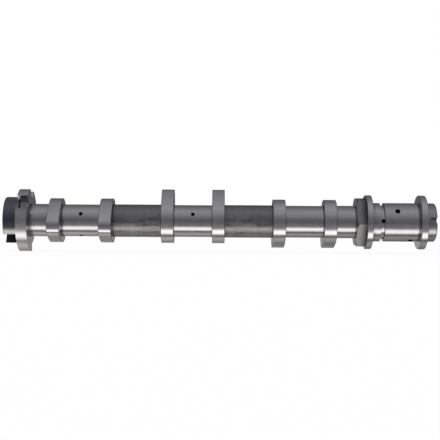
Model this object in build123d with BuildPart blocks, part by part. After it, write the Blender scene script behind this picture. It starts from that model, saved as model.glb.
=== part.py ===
from build123d import *
from math import atan2, cos, degrees, radians, sin, tan
import os

os.makedirs("parts", exist_ok=True)

# An overhead camshaft for a three-cylinder engine, turned and ground from one steel blank.
# Its axis is X and its nose points to +X. X = 0 is the face of the front flange that the
# sprocket seats on. Angles turn about X, from +Y toward +Z. Sizes are in millimetres.

# Nose that carries the sprocket, with a dowel slot in its rim.
nose_diameter = 36.8
nose_length = 9.6
nose_chamfer = 1.0
dowel_slot_width = 5.1
dowel_slot_length = 6.4
dowel_slot_depth = 5.5
dowel_slot_angle = 173.5

# Thrust journal between two flanges.
flange_diameter = 51.6
front_flange_thickness = 6.4
inner_flange_thickness = 5.8
front_journal_diameter = 36.9
front_journal_length = 45.0
front_relief_width = 1.6
front_relief_depth = 0.5
undercut_width = 2.9
undercut_depth = 0.4
oil_groove_width = 3.8
oil_groove_depth = 2.4
oil_groove_from_front_flange = 35.0

# Hexagon for a spanner, hard against the inner flange.
hexagon_across_flats = 44.0
hexagon_length = 9.2
hexagon_chamfer_length = 1.5
hexagon_chamfer_angle = 30.0
hexagon_corner_angle = 185.3

# Valve gear: a pair of lobes for each cylinder, with a bearing journal inside the pair.
hexagon_to_last_pair = 48.7
cylinder_pitch = 106.0
valve_spacing = 48.3
lobe_width = 12.0
base_circle_radius = 21.1
valve_lift = 10.05
lobe_nose_radius = 10.0
lobe_half_angle = 66.0
pair_angles = [193.5, 73.5, 313.5]
bearing_diameter = 30.5
shaft_diameter = 31.1

# Sensor wheel and the slotted barrel behind it.
first_pair_to_wheel = 48.9
wheel_diameter = 59.5
wheel_thickness = 10.1
wheel_gap_diameter = 45.4
wheel_teeth = [(98.0, 129.0), (149.0, 279.0), (-20.0, 68.0)]
wheel_slot_width = 2.0
wheel_slot_depth = 3.0
wheel_slot_setback = 2.6
wheel_slot_end = 157.6
barrel_diameter = 44.1
barrel_length = 13.4
drive_slot_width = 15.4
drive_slot_angle = 238.0

# Oil ways.
gallery_diameter = 8.0
gallery_past_first_bearing = 14.0
groove_hole_diameter = 3.8
groove_hole_angle = 176.0
bearing_hole_diameter = 3.7
bearing_hole_angles = [(155.5, 249.0), (155.0,), (335.0,)]
thrust_hole_diameter = 5.0
upper_thrust_hole_from_front_flange = 21.3
upper_thrust_hole_angle = 145.0
lower_thrust_hole_from_front_flange = 7.8
lower_thrust_hole_angle = 248.5

# Ends: the sprocket bolt's tapped hole (M12, left at its drill size) and the rear centre hole.
bolt_hole_diameter = 10.2
bolt_hole_depth = 20.0
bolt_hole_mouth_diameter = 13.5
rear_centre_diameter = 5.0
rear_centre_depth = 10.0
rear_centre_mouth_diameter = 10.0
drill_point_angle = 118.0
centre_mouth_angle = 60.0

edge_break = 0.5
lobe_edge_break = 0.4
overcut = 1.0

# Stations along the axis, worked back from the front flange's face.
nose_end = nose_length
front_journal_front = -front_flange_thickness
front_journal_rear = front_journal_front - front_journal_length
hexagon_front = front_journal_rear - inner_flange_thickness
hexagon_rear = hexagon_front - hexagon_length
last_pair = hexagon_rear - hexagon_to_last_pair
pair_centres = [last_pair - place * cylinder_pitch for place in (2, 1, 0)]
wheel_front = pair_centres[0] - first_pair_to_wheel
wheel_rear = wheel_front - wheel_thickness
barrel_rear = wheel_rear - barrel_length


def across(x, angle=0.0):
    """The plane across the axis at x, whose own X direction points at the angle."""
    turn = radians(angle)
    return Plane(origin=(x, 0, 0), x_dir=(0, cos(turn), sin(turn)), z_dir=(1, 0, 0))


def outward(x, angle):
    """The plane on the axis at x that faces outward at the angle."""
    turn = radians(angle)
    return Plane(origin=(x, 0, 0), x_dir=(1, 0, 0), z_dir=(0, cos(turn), sin(turn)))


def turned(rear, front, diameter, chamfered=0.0):
    """A plain turned stretch, with both its rims chamfered where a size is given."""
    with BuildPart() as stretch:
        with BuildSketch(across(rear)):
            Circle(diameter / 2)
        extrude(amount=front - rear)
        if chamfered > 0:
            chamfer(edges().filter_by(GeomType.CIRCLE), chamfered)
    return stretch.part


def ring(rear, front, outer_diameter, floor_diameter):
    """What a groove takes out of a stretch of the given diameter."""
    with BuildPart() as waste:
        with BuildSketch(across(rear)):
            Circle(outer_diameter / 2 + overcut)
            Circle(floor_diameter / 2, mode=Mode.SUBTRACT)
        extrude(amount=front - rear)
    return waste.part


def lobe(centre, angle):
    """One cam lobe: base circle, two flank arcs and a nose arc, each tangent to the next."""
    half = radians(lobe_half_angle)
    nose_centre = base_circle_radius + valve_lift - lobe_nose_radius
    step = base_circle_radius - lobe_nose_radius
    flank_centre = (nose_centre**2 - step**2) / (2 * (step - nose_centre * cos(half)))
    flank_radius = flank_centre + base_circle_radius
    flank_x = -flank_centre * cos(half)
    flank_y = -flank_centre * sin(half)
    nose_turn = degrees(atan2(-flank_y, nose_centre - flank_x))
    flank_turn = lobe_half_angle - nose_turn
    with BuildPart() as cam:
        with BuildSketch(across(centre - lobe_width / 2, angle)):
            with BuildLine():
                CenterArc((0, 0), base_circle_radius, lobe_half_angle, 360 - 2 * lobe_half_angle)
                CenterArc((flank_x, flank_y), flank_radius, nose_turn, flank_turn)
                CenterArc((nose_centre, 0), lobe_nose_radius, -nose_turn, 2 * nose_turn)
                CenterArc((flank_x, -flank_y), flank_radius, -lobe_half_angle, flank_turn)
            make_face()
        extrude(amount=lobe_width)
        chamfer(edges().filter_by(GeomType.CIRCLE), lobe_edge_break)
    return cam.part


def sector(inner_radius, outer_radius, start, end):
    """A sector of a ring, between two angles, for the sketch that is open."""
    with BuildLine() as rim:
        outer = CenterArc((0, 0), outer_radius, start, end - start)
        inner = CenterArc((0, 0), inner_radius, start, end - start)
        Line(outer @ 0, inner @ 0)
        Line(outer @ 1, inner @ 1)
    make_face(rim.edges())


def sensor_wheel():
    """The toothed wheel that the position sensor reads, with the narrow slot in its long tooth."""
    gap_radius = wheel_gap_diameter / 2
    outer_radius = wheel_diameter / 2
    slot_start = wheel_teeth[1][0]
    with BuildPart() as wheel:
        with BuildSketch(across(wheel_rear)):
            Circle(gap_radius)
            for start, end in wheel_teeth:
                sector(gap_radius - overcut, outer_radius, start, end)
        extrude(amount=wheel_thickness)
        with BuildSketch(across(wheel_rear + wheel_slot_setback)):
            sector(outer_radius - wheel_slot_depth, outer_radius + overcut, slot_start, wheel_slot_end)
        extrude(amount=wheel_slot_width, mode=Mode.SUBTRACT)
    return wheel.part


def hexagon():
    """The spanner hexagon, its rear corners turned off to a cone as on a nut."""
    corner_radius = hexagon_across_flats / 2 / cos(radians(180 / 6))
    cone_radius = corner_radius - hexagon_chamfer_length / tan(radians(hexagon_chamfer_angle))
    with BuildPart() as spanner_seat:
        with BuildSketch(across(hexagon_rear, hexagon_corner_angle)):
            RegularPolygon(hexagon_across_flats / 2, 6, major_radius=False)
        extrude(amount=hexagon_length)
        with BuildSketch(Plane.XY):
            with BuildLine():
                Polyline(
                    (hexagon_rear, 0),
                    (hexagon_rear, cone_radius),
                    (hexagon_rear + hexagon_chamfer_length, corner_radius),
                    (hexagon_front, corner_radius),
                    (hexagon_front, 0),
                    close=True,
                )
            make_face()
        revolve(axis=Axis.X, mode=Mode.INTERSECT)
    return spanner_seat.part


def drive_slot():
    """What the slot right across the barrel takes out: a drive tongue fits it."""
    with BuildPart() as waste:
        with BuildSketch(across(barrel_rear, drive_slot_angle)):
            Rectangle(barrel_diameter + 2 * overcut, drive_slot_width)
        extrude(amount=barrel_length)
    return waste.part


def dowel_slot():
    """What the slot in the nose's rim takes out, open to the end face."""
    with BuildPart() as waste:
        with BuildSketch(across(nose_end - dowel_slot_length, dowel_slot_angle)):
            with Locations((nose_diameter / 2 - dowel_slot_depth, 0)):
                Rectangle(
                    dowel_slot_depth + overcut,
                    dowel_slot_width,
                    align=(Align.MIN, Align.CENTER),
                )
        extrude(amount=dowel_slot_length)
    return waste.part


def axial_hole(mouth, depth, diameter, inward):
    """What a drill takes out along the axis, its cone included; inward is -1 or 1 along X."""
    point = diameter / 2 / tan(radians(drill_point_angle / 2))
    with BuildPart() as waste:
        with BuildSketch(Plane.XY):
            with BuildLine():
                Polyline(
                    (mouth, 0),
                    (mouth, diameter / 2),
                    (mouth + inward * depth, diameter / 2),
                    (mouth + inward * (depth + point), 0),
                    close=True,
                )
            make_face()
        revolve(axis=Axis.X)
    return waste.part


def centre_mouth(mouth, diameter, inward):
    """What the cone in a hole's mouth takes out."""
    depth = diameter / 2 / tan(radians(centre_mouth_angle / 2))
    with BuildPart() as waste:
        with BuildSketch(Plane.XY):
            with BuildLine():
                Polyline(
                    (mouth, 0),
                    (mouth, diameter / 2),
                    (mouth + inward * depth, 0),
                    close=True,
                )
            make_face()
        revolve(axis=Axis.X)
    return waste.part


def oil_hole(x, angle, diameter, surface_diameter):
    """What a drill takes out between the surface and the gallery on the axis."""
    with BuildPart() as waste:
        with BuildSketch(outward(x, angle)):
            Circle(diameter / 2)
        extrude(amount=surface_diameter / 2 + overcut)
    return waste.part


with BuildPart() as camshaft:
    # The shaft itself: rough between the pairs, ground to a bearing inside each pair.
    rough_start = wheel_rear
    for pair_centre in pair_centres:
        bearing_rear = pair_centre - valve_spacing / 2
        bearing_front = pair_centre + valve_spacing / 2
        add(turned(rough_start, bearing_rear, shaft_diameter))
        add(turned(bearing_rear, bearing_front, bearing_diameter))
        rough_start = bearing_front
    add(turned(rough_start, hexagon_front, shaft_diameter))

    # What stands out from it, from rear to front.
    add(turned(barrel_rear, wheel_rear, barrel_diameter, edge_break))
    add(sensor_wheel())
    for pair_centre, pair_angle in zip(pair_centres, pair_angles):
        for side in (-1, 1):
            add(lobe(pair_centre + side * valve_spacing / 2, pair_angle))
    add(hexagon())
    add(turned(hexagon_front, front_journal_rear, flange_diameter, edge_break))
    add(turned(hexagon_front, 0, front_journal_diameter))
    add(turned(front_journal_front, 0, flange_diameter, edge_break))
    add(turned(0, nose_end, nose_diameter))
    chamfer(edges().group_by(Axis.X)[-1], nose_chamfer)

    # The thrust journal's oil groove, its undercut and its relief.
    groove_centre = front_journal_front - oil_groove_from_front_flange
    groove_rear = groove_centre - oil_groove_width / 2
    groove_floor = front_journal_diameter - 2 * oil_groove_depth
    add(
        ring(groove_rear, groove_rear + oil_groove_width, front_journal_diameter, groove_floor),
        mode=Mode.SUBTRACT,
    )
    undercut_floor = front_journal_diameter - 2 * undercut_depth
    undercut_front = front_journal_rear + undercut_width
    add(
        ring(front_journal_rear, undercut_front, front_journal_diameter, undercut_floor),
        mode=Mode.SUBTRACT,
    )
    relief_floor = front_journal_diameter - 2 * front_relief_depth
    relief_rear = front_journal_front - front_relief_width
    add(
        ring(relief_rear, front_journal_front, front_journal_diameter, relief_floor),
        mode=Mode.SUBTRACT,
    )

    # Slots at the two ends.
    add(drive_slot(), mode=Mode.SUBTRACT)
    add(dowel_slot(), mode=Mode.SUBTRACT)

    # The oil gallery, the bolt hole it starts from and the rear centre hole.
    gallery_end = pair_centres[0] - gallery_past_first_bearing
    add(axial_hole(nose_end, nose_end - gallery_end, gallery_diameter, -1), mode=Mode.SUBTRACT)
    add(axial_hole(nose_end, bolt_hole_depth, bolt_hole_diameter, -1), mode=Mode.SUBTRACT)
    add(centre_mouth(nose_end, bolt_hole_mouth_diameter, -1), mode=Mode.SUBTRACT)
    add(axial_hole(wheel_rear, rear_centre_depth, rear_centre_diameter, 1), mode=Mode.SUBTRACT)
    add(centre_mouth(wheel_rear, rear_centre_mouth_diameter, 1), mode=Mode.SUBTRACT)

    # Oil holes: one or two to a bearing, one in the groove and two in the thrust journal.
    for pair_centre, hole_angles in zip(pair_centres, bearing_hole_angles):
        for hole_angle in hole_angles:
            add(
                oil_hole(pair_centre, hole_angle, bearing_hole_diameter, bearing_diameter),
                mode=Mode.SUBTRACT,
            )
    thrust_holes = [
        (oil_groove_from_front_flange, groove_hole_angle, groove_hole_diameter),
        (upper_thrust_hole_from_front_flange, upper_thrust_hole_angle, thrust_hole_diameter),
        (lower_thrust_hole_from_front_flange, lower_thrust_hole_angle, thrust_hole_diameter),
    ]
    for setback, hole_angle, hole_diameter in thrust_holes:
        add(
            oil_hole(
                front_journal_front - setback,
                hole_angle,
                hole_diameter,
                front_journal_diameter,
            ),
            mode=Mode.SUBTRACT,
        )

camshaft.part.label = "camshaft"
export_step(camshaft.part, "parts/camshaft.step")
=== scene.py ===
import math

import bpy
from mathutils import Euler, Matrix, Vector


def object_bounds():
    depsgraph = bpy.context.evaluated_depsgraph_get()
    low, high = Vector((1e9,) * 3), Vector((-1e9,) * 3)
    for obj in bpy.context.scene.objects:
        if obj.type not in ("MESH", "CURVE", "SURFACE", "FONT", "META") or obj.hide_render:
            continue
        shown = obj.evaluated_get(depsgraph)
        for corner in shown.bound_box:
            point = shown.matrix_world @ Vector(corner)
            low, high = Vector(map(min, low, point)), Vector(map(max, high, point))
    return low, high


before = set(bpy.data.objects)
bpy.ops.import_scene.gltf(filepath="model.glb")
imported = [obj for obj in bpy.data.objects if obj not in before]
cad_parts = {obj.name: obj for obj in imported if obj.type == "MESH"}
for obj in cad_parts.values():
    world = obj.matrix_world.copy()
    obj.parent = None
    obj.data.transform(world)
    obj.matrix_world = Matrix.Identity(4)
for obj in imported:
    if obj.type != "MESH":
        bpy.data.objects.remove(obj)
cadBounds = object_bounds()
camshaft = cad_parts["camshaft"]
print("frame loaded")

mm = 0.001
shareIn, baseIn, overIn, colourOut = 0, 6, 7, 2  # sockets of a colour mix, which share their names


def linearColour(hexText):
    channels = []
    for place in (1, 3, 5):
        value = int(hexText[place:place + 2], 16) / 255
        channels.append(value / 12.92 if value <= 0.04045 else ((value + 0.055) / 1.055) ** 2.4)
    return (*channels, 1.0)


# a socket is given by its name, or by its number where names repeat
def addNode(tree, kind, settings=None, links=None):
    node = tree.nodes.new(kind)
    for name, value in (settings or {}).items():
        if isinstance(name, int) or name in node.inputs:
            node.inputs[name].default_value = value
        else:
            setattr(node, name, value)
    for name, source in (links or {}).items():
        tree.links.new(source, node.inputs[name])
    return node


def blankMaterial(name):
    material = bpy.data.materials.new(name)
    material.use_nodes = True
    material.node_tree.nodes.clear()
    return material


# how far round the shaft a point stands: 0 straight ahead, a quarter turn overhead
def turnRound(tree, axes):
    ahead = addNode(tree, "ShaderNodeMath", {"operation": "MULTIPLY", 1: -1.0}, {0: axes.outputs["Y"]})
    turn = addNode(tree, "ShaderNodeMath", {"operation": "ARCTAN2"}, {
        0: axes.outputs["Z"], 1: ahead.outputs[0]})
    return turn.outputs[0]


# every steel skin is bare metal: what differs is its tone, its tool marks and how rough it is
# mottle and lines are sizes in mm, wear is how much of the bright corner tone shows
steelFinishes = {
    "groundJournalSteel": {  # ground and superfinished, so the bright strip shows as one clean band
        "tone": "#C3C2C4", "shade": "#AFAEB0", "roughness": 0.18, "roughSpread": 0.03,
        "mottle": 7.0, "streak": 1.0, "lines": 0.5, "lineDepth": 0.008, "grainDepth": 0.0, "wear": 0.25,
    },
    "groundLobeSteel": {  # ground cam faces and flange rims, paler than the journals
        "tone": "#CDCBCC", "shade": "#B9B7B8", "roughness": 0.18, "roughSpread": 0.03,
        "mottle": 5.0, "streak": 1.0, "lines": 0.6, "lineDepth": 0.008, "grainDepth": 0.0, "wear": 0.3,
    },
    "groundThrustSteel": {  # ground faces that locate the shaft, darker than its journals
        "tone": "#8C8B8E", "shade": "#7D7C7F", "roughness": 0.20, "roughSpread": 0.03,
        "mottle": 5.0, "streak": 1.0, "lines": 0.5, "lineDepth": 0.008, "grainDepth": 0.0, "wear": 0.3,
    },
    "turnedWheelSteel": {  # fine-turned teeth of the sensor wheel, with a wide soft band
        "tone": "#CFCDCE", "shade": "#BDBBBC", "roughness": 0.27, "roughSpread": 0.02,
        "mottle": 5.0, "streak": 1.0, "lines": 0.6, "lineDepth": 0.012, "grainDepth": 0.0, "wear": 0.4,
        # painted shade: black across the first gap from the long tooth's slot, and thinner over that
        # tooth's end
        "gapShade": {"middle": -384.5, "halfWidth": 1.0, "angle": 40.0, "halfAngle": 9.5, "tone": "#161618",
                 "toothShade": 0.66, "toothShadeFrom": 6.0, "toothShadeTo": 30.0, "toothEnd": 32.0},
    },
    "turnedNoseSteel": {  # turned rim of the nose, a softer band than what is ground
        "tone": "#B0AEAF", "shade": "#989697", "roughness": 0.22, "roughSpread": 0.04,
        "mottle": 5.0, "streak": 1.0, "lines": 0.6, "lineDepth": 0.012, "grainDepth": 0.0, "wear": 0.4,
    },
    "forgedShaftSteel": {  # left as forged and tempered between the pairs: streaky and dull
        "tone": "#A9A7A6", "shade": "#666465", "roughness": 0.38, "roughSpread": 0.20,
        "mottle": 3.2, "streak": 0.26, "lines": 1.2, "lineDepth": 0.010, "grainDepth": 0.04, "wear": 0.0,
    },
    "turnedSideSteel": {  # turned side faces, dark, with fine rings
        "tone": "#868589", "shade": "#6C6B6F", "roughness": 0.30, "roughSpread": 0.06,
        "mottle": 4.0, "streak": 1.0, "lines": 0.5, "lineDepth": 0.010, "grainDepth": 0.01, "wear": 0.5,
    },
    "milledHexagonSteel": {  # milled flats, greyer and rougher than what is ground
        "tone": "#A4A2A2", "shade": "#858384", "roughness": 0.46, "roughSpread": 0.08,
        "mottle": 4.0, "streak": 1.0, "lines": 0.7, "lineDepth": 0.012, "grainDepth": 0.012, "wear": 0.3,
        "flangeShade": {"from": -64.5, "to": -57.6, "tone": "#5A5959"},  # painted shade that darkens the flats towards the flange
    },
    "blackedBarrelSteel": {  # blacked and oiled, so it is blue-grey under a thin clear film
        "tone": "#666770", "shade": "#464750", "roughness": 0.22, "roughSpread": 0.06,
        "mottle": 1.6, "streak": 1.0, "lines": 0.7, "lineDepth": 0.014, "grainDepth": 0.02, "wear": 0.3,
        "oilCoat": 1.0,
        # a painted highlight: a band 32 degrees below straight ahead made paler, in patches that follow the
        # mottle
        "paintedHighlight": {"angle": -32.0, "halfWidth": 11.0, "tone": "#A9A6A2",
                    "mottleFrom": 0.35, "mottleTo": 0.65, "least": 0.35},
    },
    "drilledBoreSteel": {  # inside holes and slots, near black
        "tone": "#4A4A4D", "shade": "#343437", "roughness": 0.5, "roughSpread": 0.05,
        "mottle": 2.0, "streak": 1.0, "lines": 0.8, "lineDepth": 0.010, "grainDepth": 0.01, "wear": 0.0,
        "noPaintedCornerShade": True,
    },
}

# corners rubbed bright over about a third of a mm, where the rounded normal leaves the true one
edgeWear = {"width": 0.35, "tone": "#E4E4E6", "likenessFrom": 0.995, "likenessTo": 0.85, "samples": 4}
# painted shade: a dark tone laid where two faces meet inward, from where the steel shades itself within
# about a mm
paintedCornerShade = {"reach": 1.0, "tone": "#242426", "share": 0.8, "openFrom": 0.95, "openTo": 0.5, "samples": 6}
# what all the finishes share: how their mottle, their tool's rings and their grain are drawn
marks = {
    "mottleDetail": 5.0,
    "mottleBreak": 0.6,
    "mottleSpan": (0.3, 0.7),  # the values that the mottle keeps to, spread over the roughness
    "ringDetail": 3.0,
    "ringTurn": 20.0,  # waves per metre round the shaft, so few that the rings run on
    "ringContrast": 0.7,  # how strongly the tool's rings show in the tone beside the mottle
    "grainSize": 0.45,  # scale and pits in mm, drawn coarser than the real 0.1 so that it shows
    "grainDetail": 4.0,
    "coatRoughness": 0.12,
}


# painted shade: the tone darkens along the axis towards the flange
def addPaintedFlangeShade(tree, place, skin, flangeShade):
    axes = addNode(tree, "ShaderNodeSeparateXYZ", {}, {"Vector": place})
    reach = addNode(tree, "ShaderNodeMapRange", {
        "interpolation_type": "SMOOTHSTEP", "From Min": flangeShade["from"] * mm, "From Max": flangeShade["to"] * mm},
        {"Value": axes.outputs["X"]})
    flangeShaded = addNode(tree, "ShaderNodeMix", {"data_type": "RGBA", overIn: linearColour(flangeShade["tone"])}, {
        shareIn: reach.outputs["Result"], baseIn: skin})
    return flangeShaded.outputs[colourOut]


# painted shade: a black patch across the gap, and a shade that deepens up to the tooth's end
def addPaintedGapShade(tree, place, skin, gapShade):
    axes = addNode(tree, "ShaderNodeSeparateXYZ", {}, {"Vector": place})
    turn = turnRound(tree, axes)
    inWidth = addNode(tree, "ShaderNodeMath", {
        "operation": "COMPARE", 1: gapShade["middle"] * mm, 2: gapShade["halfWidth"] * mm}, {0: axes.outputs["X"]})
    inAngle = addNode(tree, "ShaderNodeMath", {
        "operation": "COMPARE", 1: math.radians(gapShade["angle"]), 2: math.radians(gapShade["halfAngle"])},
        {0: turn})
    patch = addNode(tree, "ShaderNodeMath", {"operation": "MULTIPLY"}, {
        0: inWidth.outputs[0], 1: inAngle.outputs[0]})
    toothShade = addNode(tree, "ShaderNodeMapRange", {
        "interpolation_type": "SMOOTHSTEP", "From Min": math.radians(gapShade["toothShadeFrom"]),
        "From Max": math.radians(gapShade["toothShadeTo"]), "To Max": gapShade["toothShade"]}, {"Value": turn})
    onTooth = addNode(tree, "ShaderNodeMath", {
        "operation": "LESS_THAN", 1: math.radians(gapShade["toothEnd"])}, {0: turn})
    shadeOnTooth = addNode(tree, "ShaderNodeMath", {"operation": "MULTIPLY"}, {
        0: toothShade.outputs["Result"], 1: onTooth.outputs[0]})
    gapShadeShare = addNode(tree, "ShaderNodeMath", {"operation": "MAXIMUM"}, {
        0: patch.outputs[0], 1: shadeOnTooth.outputs[0]})
    shadedSkin = addNode(tree, "ShaderNodeMix", {"data_type": "RGBA", overIn: linearColour(gapShade["tone"])}, {
        shareIn: gapShadeShare.outputs[0], baseIn: skin})
    return shadedSkin.outputs[colourOut]


# paints a highlight: a paler tone in a band at a fixed angle from straight ahead, broken by the mottle
def addPaintedHighlight(tree, place, skin, mottle, paintedHighlight):
    axes = addNode(tree, "ShaderNodeSeparateXYZ", {}, {"Vector": place})
    off = addNode(tree, "ShaderNodeMath", {
        "operation": "SUBTRACT", 1: math.radians(paintedHighlight["angle"])}, {0: turnRound(tree, axes)})
    away = addNode(tree, "ShaderNodeMath", {"operation": "ABSOLUTE"}, {0: off.outputs[0]})
    near = addNode(tree, "ShaderNodeMapRange", {
        "interpolation_type": "SMOOTHSTEP", "From Min": math.radians(paintedHighlight["halfWidth"]),
        "From Max": 0.0}, {"Value": away.outputs[0]})
    broken = addNode(tree, "ShaderNodeMapRange", {
        "From Min": paintedHighlight["mottleFrom"], "From Max": paintedHighlight["mottleTo"], "To Min": paintedHighlight["least"]},
        {"Value": mottle})
    share = addNode(tree, "ShaderNodeMath", {"operation": "MULTIPLY"}, {
        0: near.outputs["Result"], 1: broken.outputs["Result"]})
    highlightedSkin = addNode(tree, "ShaderNodeMix", {"data_type": "RGBA", overIn: linearColour(paintedHighlight["tone"])}, {
        shareIn: share.outputs[0], baseIn: skin})
    return highlightedSkin.outputs[colourOut]


def addEdgeWear(tree, skin, amount):
    rounded = addNode(tree, "ShaderNodeBevel", {
        "samples": edgeWear["samples"], "Radius": edgeWear["width"] * mm})
    plain = addNode(tree, "ShaderNodeNewGeometry")
    likeness = addNode(tree, "ShaderNodeVectorMath", {"operation": "DOT_PRODUCT"}, {
        0: rounded.outputs["Normal"], 1: plain.outputs["Normal"]})
    edge = addNode(tree, "ShaderNodeMapRange", {
        "From Min": edgeWear["likenessFrom"], "From Max": edgeWear["likenessTo"], "To Max": amount},
        {"Value": likeness.outputs["Value"]})
    worn = addNode(tree, "ShaderNodeMix", {"data_type": "RGBA", overIn: linearColour(edgeWear["tone"])}, {
        shareIn: edge.outputs["Result"], baseIn: skin})
    return worn.outputs[colourOut]


# paints shade into inward corners, from how far the steel shades itself
def addPaintedCornerShade(tree, skin):
    corner = addNode(tree, "ShaderNodeAmbientOcclusion", {
        "samples": paintedCornerShade["samples"], "only_local": True, "Distance": paintedCornerShade["reach"] * mm})
    share = addNode(tree, "ShaderNodeMapRange", {
        "From Min": paintedCornerShade["openFrom"], "From Max": paintedCornerShade["openTo"], "To Max": paintedCornerShade["share"]},
        {"Value": corner.outputs["AO"]})
    shadedSkin = addNode(tree, "ShaderNodeMix", {"data_type": "RGBA", overIn: linearColour(paintedCornerShade["tone"])}, {
        shareIn: share.outputs["Result"], baseIn: skin})
    return shadedSkin.outputs[colourOut]


def steelMaterial(name, finish):
    material = blankMaterial(name)
    tree = material.node_tree
    place = addNode(tree, "ShaderNodeTexCoord").outputs["Object"]
    # streak below one draws the mottle out along the shaft
    drawn = addNode(tree, "ShaderNodeMapping", {"Scale": (finish["streak"], 1.0, 1.0)}, {"Vector": place})
    mottle = addNode(tree, "ShaderNodeTexNoise", {
        "Scale": 1 / (finish["mottle"] * mm), "Detail": marks["mottleDetail"],
        "Roughness": marks["mottleBreak"]}, {"Vector": drawn.outputs["Vector"]})
    # rings round the shaft: the noise runs fast along the axis and hardly at all round it
    stretched = addNode(tree, "ShaderNodeMapping", {
        "Scale": (1 / (finish["lines"] * mm), marks["ringTurn"], marks["ringTurn"])}, {"Vector": place})
    rings = addNode(tree, "ShaderNodeTexNoise", {"Scale": 1.0, "Detail": marks["ringDetail"]}, {
        "Vector": stretched.outputs["Vector"]})
    grain = addNode(tree, "ShaderNodeTexNoise", {
        "Scale": 1 / (marks["grainSize"] * mm), "Detail": marks["grainDetail"]}, {"Vector": place})

    # the tone follows the mottle and the rings together
    summed = addNode(tree, "ShaderNodeMath", {"operation": "MULTIPLY_ADD", 1: marks["ringContrast"]}, {
        0: rings.outputs["Fac"], 2: mottle.outputs["Fac"]})
    toneShare = addNode(tree, "ShaderNodeMath", {
        "operation": "SUBTRACT", "use_clamp": True, 1: marks["ringContrast"] / 2}, {0: summed.outputs[0]})
    skin = addNode(tree, "ShaderNodeMix", {
        "data_type": "RGBA", baseIn: linearColour(finish["shade"]), overIn: linearColour(finish["tone"])},
        {shareIn: toneShare.outputs[0]}).outputs[colourOut]
    if "flangeShade" in finish:
        skin = addPaintedFlangeShade(tree, place, skin, finish["flangeShade"])
    if "gapShade" in finish:
        skin = addPaintedGapShade(tree, place, skin, finish["gapShade"])
    if "paintedHighlight" in finish:
        skin = addPaintedHighlight(tree, place, skin, mottle.outputs["Fac"], finish["paintedHighlight"])
    skin = addEdgeWear(tree, skin, finish["wear"])
    # painted corner shade everywhere but inside holes and slots
    if not finish.get("noPaintedCornerShade"):
        skin = addPaintedCornerShade(tree, skin)

    rough = addNode(tree, "ShaderNodeMapRange", {
        "From Min": marks["mottleSpan"][0], "From Max": marks["mottleSpan"][1],
        "To Min": finish["roughness"] - finish["roughSpread"],
        "To Max": finish["roughness"] + finish["roughSpread"]}, {"Value": mottle.outputs["Fac"]})
    lineBump = addNode(tree, "ShaderNodeBump", {"Strength": 1.0, "Distance": finish["lineDepth"] * mm}, {
        "Height": rings.outputs["Fac"]})
    grainBump = addNode(tree, "ShaderNodeBump", {"Strength": 1.0, "Distance": finish["grainDepth"] * mm}, {
        "Height": grain.outputs["Fac"], "Normal": lineBump.outputs["Normal"]})
    shader = addNode(tree, "ShaderNodeBsdfPrincipled", {
        "Metallic": 1.0, "Coat Weight": finish.get("oilCoat", 0.0),
        "Coat Roughness": marks["coatRoughness"]},
        {"Base Color": skin, "Roughness": rough.outputs["Result"], "Normal": grainBump.outputs["Normal"]})
    addNode(tree, "ShaderNodeOutputMaterial", {}, {"Surface": shader.outputs["BSDF"]})
    return material


finishNames = list(steelFinishes)
camshaft.data.materials.clear()
for finishName in finishNames:
    camshaft.data.materials.append(steelMaterial(finishName, steelFinishes[finishName]))
print("steel materials made:", len(finishNames))

# stations along the axis in mm, measured back from the sprocket face at zero
layout = {
    "wheelRear": -386.1,
    "wheelFront": -376.0,
    "pairs": [-327.1, -221.1, -115.1],
    "valveSpacing": 48.3,
    "lobeWidth": 12.0,
    "hexRear": -66.4,
    "hexFront": -57.2,
    "thrustFaces": [-51.4, -6.4],
    "slack": 0.01,  # for rounding in the mesh
    "faceSlack": 0.05,
    "slotInset": 0.1,  # the wheel's slot lies at least this far inside its side faces
}

# radii in mm where one finish gives way to the next
skins = {
    "hole": 9.0,
    "noseInside": 12.0,
    "bearing": 14.95,
    "forged": 15.4,
    "shaft": 15.67,
    "journal": 18.45,
    "hexagon": 18.6,
    "barrelInside": 21.3,
    "wheelInside": 24.0,
    "flangeRim": 25.2,
    "wheelRim": 28.2,
}

# how squarely a face has to look along the axis, or out from it
facing = {"along": 0.6, "out": 0.6, "slotFloor": 0.7}

lobeCentres = []
for pairCentre in layout["pairs"]:
    for side in (-1, 1):
        lobeCentres.append(pairCentre + side * layout["valveSpacing"] / 2)


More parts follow.
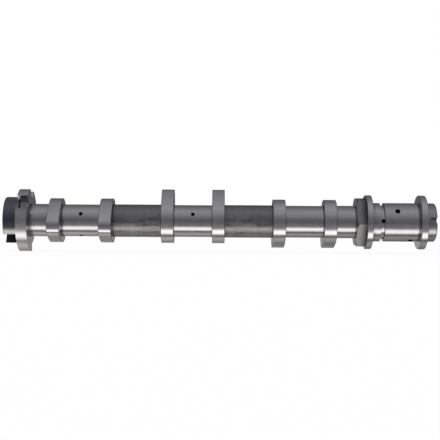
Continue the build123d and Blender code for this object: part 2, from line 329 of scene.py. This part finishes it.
def finishOf(centre, normal):
    x = centre.x / mm
    radius = math.hypot(centre.y, centre.z) / mm
    facesAlong = abs(normal.x) > facing["along"]
    outwardness = (normal.y * centre.y + normal.z * centre.z) / max(radius * mm, 1e-6)
    onShaft = radius < skins["shaft"]
    if x < layout["wheelRear"] - layout["slack"]:
        inside = radius < skins["barrelInside"] and not facesAlong
        return "drilledBoreSteel" if inside else "blackedBarrelSteel"
    if layout["hexRear"] - layout["slack"] < x < layout["hexFront"] and radius > skins["hexagon"]:
        return "milledHexagonSteel"
    inWheel = layout["wheelRear"] + layout["slotInset"] < x < layout["wheelFront"] - layout["slotInset"]
    inWheelSlot = inWheel and radius > skins["wheelInside"]
    toThrustFace = min(abs(x - station) for station in layout["thrustFaces"])
    if facesAlong and radius > skins["journal"] and toThrustFace < layout["faceSlack"]:
        return "groundThrustSteel"
    if facesAlong:
        return "drilledBoreSteel" if radius < skins["hole"] or inWheelSlot else "turnedSideSteel"
    if x < layout["wheelFront"] + layout["slack"]:
        slotFloor = inWheelSlot and outwardness > facing["slotFloor"] and radius < skins["wheelRim"]
        return "drilledBoreSteel" if onShaft or slotFloor else "turnedWheelSteel"
    for lobeCentre in lobeCentres:
        if abs(x - lobeCentre) < layout["lobeWidth"] / 2 + layout["slack"] and not onShaft:
            return "groundLobeSteel"
    if x > layout["slack"]:
        onNose = radius > skins["noseInside"] and outwardness > facing["out"]
        return "turnedNoseSteel" if onNose else "drilledBoreSteel"
    if outwardness < facing["out"] or radius < skins["bearing"]:
        return "drilledBoreSteel"
    if radius > skins["flangeRim"]:
        return "groundLobeSteel"
    if lobeCentres[0] < x < lobeCentres[-1] and radius > skins["forged"]:
        return "forgedShaftSteel"
    return "groundJournalSteel"


for face in camshaft.data.polygons:
    face.material_index = finishNames.index(finishOf(face.center, face.normal))
print("finishes laid on the camshaft")

# the floor is white paper, and the tent round the shaft is seen in the steel only
studio = {
    "floorTone": "#F4F4F4",
    "floorHalf": 6.0,
    "paperGlow": 0.94,  # the rest keeps the object's shadow
    "skyFill": 0.85,  # the white surroundings as the object is lit by them
}
floorHeight = float(cadBounds[0][2])
middle = (float(cadBounds[0][0]) + float(cadBounds[1][0])) / 2


def plane(name, corners, material):
    mesh = bpy.data.meshes.new(name)
    mesh.from_pydata(corners, [], [(0, 1, 2, 3)])
    sheet = bpy.data.objects.new(name, mesh)
    bpy.context.scene.collection.objects.link(sheet)
    mesh.materials.append(material)
    return sheet


# one where the camera sees it, straight or in metal or glass, and zero where it lights the object
def seenPlainly(tree):
    rays = addNode(tree, "ShaderNodeLightPath")
    seen = addNode(tree, "ShaderNodeMath", {"operation": "MAXIMUM"}, {
        0: rays.outputs["Is Camera Ray"], 1: rays.outputs["Is Glossy Ray"]})
    seenAll = addNode(tree, "ShaderNodeMath", {"operation": "MAXIMUM"}, {
        0: seen.outputs[0], 1: rays.outputs["Is Transmission Ray"]})
    return seenAll.outputs[0]


def whitePaper():
    material = blankMaterial("whitePaper")
    tree = material.node_tree
    share = addNode(tree, "ShaderNodeMath", {"operation": "MULTIPLY", 1: studio["paperGlow"]}, {
        0: seenPlainly(tree)})
    paper = addNode(tree, "ShaderNodeBsdfDiffuse", {"Color": linearColour(studio["floorTone"])})
    glow = addNode(tree, "ShaderNodeEmission", {"Color": (1, 1, 1, 1), "Strength": 1.0})
    mixed = addNode(tree, "ShaderNodeMixShader", {}, {
        0: share.outputs[0], 1: paper.outputs[0], 2: glow.outputs[0]})
    addNode(tree, "ShaderNodeOutputMaterial", {}, {"Surface": mixed.outputs[0]})
    return material


half = studio["floorHalf"]
floor = plane("floor", [(middle - half, -half, floorHeight), (middle + half, -half, floorHeight),
                        (middle + half, half, floorHeight), (middle - half, half, floorHeight)],
              whitePaper())
floor.visible_glossy = False  # the steel sees the tent's lower half instead

# the tent is what the steel sees round the shaft, by elevation: 0 straight ahead, 90 overhead,
# -90 below. A ramp holds nothing over one, so its levels are divided by the brightest and
# multiplied back after it.
tent = {
    "radius": 1.0,
    "length": 3.0,
    "sides": 72,
    "brightest": 2.0,
    "levels": [
        (-180, 0.64), (-170, 0.56), (-158, 0.34), (-148, 0.26), (-136, 0.29), (-120, 0.45),
        (-106, 0.60), (-94, 0.48),
        (-83, 0.12), (-77, 0.20), (-71, 1.10), (-66, 1.85), (-49, 1.85), (-45, 1.05), (-41, 0.50),
        (-34, 0.33), (-24, 0.24), (-18, 0.29), (-12, 0.20), (0, 0.18), (12, 0.21), (24, 0.27),
        (38, 0.37), (70, 0.48), (90, 0.40), (112, 0.28), (146, 0.16), (164, 0.16), (180, 0.19),
    ],
    "warmBelow": -30,
    "warmTint": (1.02, 1.0, 0.975),
    "coolTint": (0.967, 0.98, 1.045),
    # the cloth below is lit from the left, so its share falls along the axis
    "lowLean": {"left": -0.57, "right": 0.19, "leftShare": 1.30, "rightShare": 0.76,
                "full": -94, "none": -80},
    "ends": 0.40,
    "endHalf": 1.2,
}


def tentMaterial():
    material = blankMaterial("tentCloth")
    material.cycles.emission_sampling = "NONE"
    tree = material.node_tree
    place = addNode(tree, "ShaderNodeTexCoord").outputs["Object"]
    axes = addNode(tree, "ShaderNodeSeparateXYZ", {}, {"Vector": place})
    turn = turnRound(tree, axes)
    share = addNode(tree, "ShaderNodeMapRange", {"From Min": -math.pi, "From Max": math.pi}, {
        "Value": turn})
    ramp = addNode(tree, "ShaderNodeValToRGB", {}, {"Fac": share.outputs["Result"]})
    stops = ramp.color_ramp.elements
    while len(stops) < len(tent["levels"]):
        stops.new(0.5)
    for stop, (elevation, level) in zip(stops, tent["levels"]):
        stop.position = (elevation + 180) / 360
        tint = tent["warmTint"] if elevation < tent["warmBelow"] else tent["coolTint"]
        stop.color = (*(channel * level / tent["brightest"] for channel in tint), 1.0)
    lean = tent["lowLean"]
    along = addNode(tree, "ShaderNodeMapRange", {
        "From Min": lean["left"], "From Max": lean["right"],
        "To Min": lean["leftShare"], "To Max": lean["rightShare"]}, {"Value": axes.outputs["X"]})
    low = addNode(tree, "ShaderNodeMapRange", {
        "From Min": math.radians(lean["none"]), "From Max": math.radians(lean["full"])}, {"Value": turn})
    leaning = addNode(tree, "ShaderNodeMix", {"data_type": "FLOAT", 2: 1.0}, {
        0: low.outputs["Result"], 3: along.outputs["Result"]})
    strength = addNode(tree, "ShaderNodeMath", {"operation": "MULTIPLY", 1: tent["brightest"]}, {
        0: leaning.outputs[0]})
    glow = addNode(tree, "ShaderNodeEmission", {}, {
        "Color": ramp.outputs["Color"], "Strength": strength.outputs[0]})
    addNode(tree, "ShaderNodeOutputMaterial", {}, {"Surface": glow.outputs[0]})
    return material


def clothMaterial(name, level):
    material = blankMaterial(name)
    material.cycles.emission_sampling = "NONE"
    tree = material.node_tree
    glow = addNode(tree, "ShaderNodeEmission", {"Color": (1, 1, 1, 1), "Strength": level})
    addNode(tree, "ShaderNodeOutputMaterial", {}, {"Surface": glow.outputs[0]})
    return material


def hideFromAllButSteel(cloth):
    cloth.visible_camera = False
    cloth.visible_diffuse = False
    cloth.visible_transmission = False
    cloth.visible_volume_scatter = False
    cloth.visible_shadow = False


tentMesh = bpy.data.meshes.new("lightTent")
rim = []
for end in (-1, 1):
    for side in range(tent["sides"]):
        angle = 2 * math.pi * side / tent["sides"]
        rim.append((middle + end * tent["length"] / 2, tent["radius"] * math.cos(angle),
                    tent["radius"] * math.sin(angle)))
walls = []
for side in range(tent["sides"]):
    after = (side + 1) % tent["sides"]
    walls.append((side, after, tent["sides"] + after, tent["sides"] + side))
tentMesh.from_pydata(rim, [], walls)
tentMesh.materials.append(tentMaterial())
lightTent = bpy.data.objects.new("lightTent", tentMesh)
bpy.context.scene.collection.objects.link(lightTent)
hideFromAllButSteel(lightTent)

# grey cloths close both ends of the tent, and the side faces show them
for endName, end in (("leftEndCloth", -1), ("rightEndCloth", 1)):
    x = middle + end * tent["length"] / 2
    reach = tent["endHalf"]
    corners = [(x, -reach, -reach), (x, reach, -reach), (x, reach, reach), (x, -reach, reach)]
    hideFromAllButSteel(plane(endName, corners, clothMaterial(endName, tent["ends"])))

# a soft box overhead lights the floor
softBox = {
    "size": (2.4, 1.2),
    "place": (middle, -0.4, 1.6),
    "turn": (-12.0, 0.0, 0.0),
    "radiance": 0.7,
}
lamp = bpy.data.lights.new("softBox", "AREA")
lamp.shape = "RECTANGLE"
lamp.size, lamp.size_y = softBox["size"]
lamp.energy = softBox["radiance"] * math.pi * lamp.size * lamp.size_y
lampObject = bpy.data.objects.new("softBox", lamp)
lampObject.location = softBox["place"]
lampObject.rotation_euler = [math.radians(angle) for angle in softBox["turn"]]
lampObject.visible_camera = False
lampObject.visible_glossy = False
bpy.context.scene.collection.objects.link(lampObject)

world = bpy.data.worlds.new("whiteStudio")
bpy.context.scene.world = world
world.use_nodes = True
sky = world.node_tree
sky.nodes.clear()
skyLevel = addNode(sky, "ShaderNodeMapRange", {"To Min": studio["skyFill"], "To Max": 1.0}, {
    "Value": seenPlainly(sky)})
skyGlow = addNode(sky, "ShaderNodeBackground", {"Color": (1, 1, 1, 1)}, {
    "Strength": skyLevel.outputs["Result"]})
addNode(sky, "ShaderNodeOutputWorld", {}, {"Surface": skyGlow.outputs[0]})
print("studio set")

# the camera stands level with the shaft, at the photograph's distance and roll
view = {
    "distance": 1.000,
    "mmPerPixel": 0.958,
    "centreX": -0.1954,
    "centreZ": 0.0012,
    "roll": 0.37,
    "imageWidth": 440,
    "sensor": 36.0,
    "clipStart": 0.01,
}
camera = bpy.data.cameras.new("photoCamera")
camera.sensor_width = view["sensor"]
camera.sensor_fit = "HORIZONTAL"
camera.lens = view["distance"] / (view["mmPerPixel"] * mm) * view["sensor"] / view["imageWidth"]
camera.clip_start = view["clipStart"]
cameraObject = bpy.data.objects.new("photoCamera", camera)
cameraObject.location = Vector((view["centreX"], -view["distance"], view["centreZ"]))
levelTurn = Euler((math.radians(90), 0, 0)).to_matrix()
roll = Matrix.Rotation(math.radians(view["roll"]), 3, "Z")
cameraObject.rotation_euler = (levelTurn @ roll).to_euler()
bpy.context.scene.collection.objects.link(cameraObject)
bpy.context.scene.camera = cameraObject
bpy.context.scene.view_settings.view_transform = "Standard"
print("camera placed")
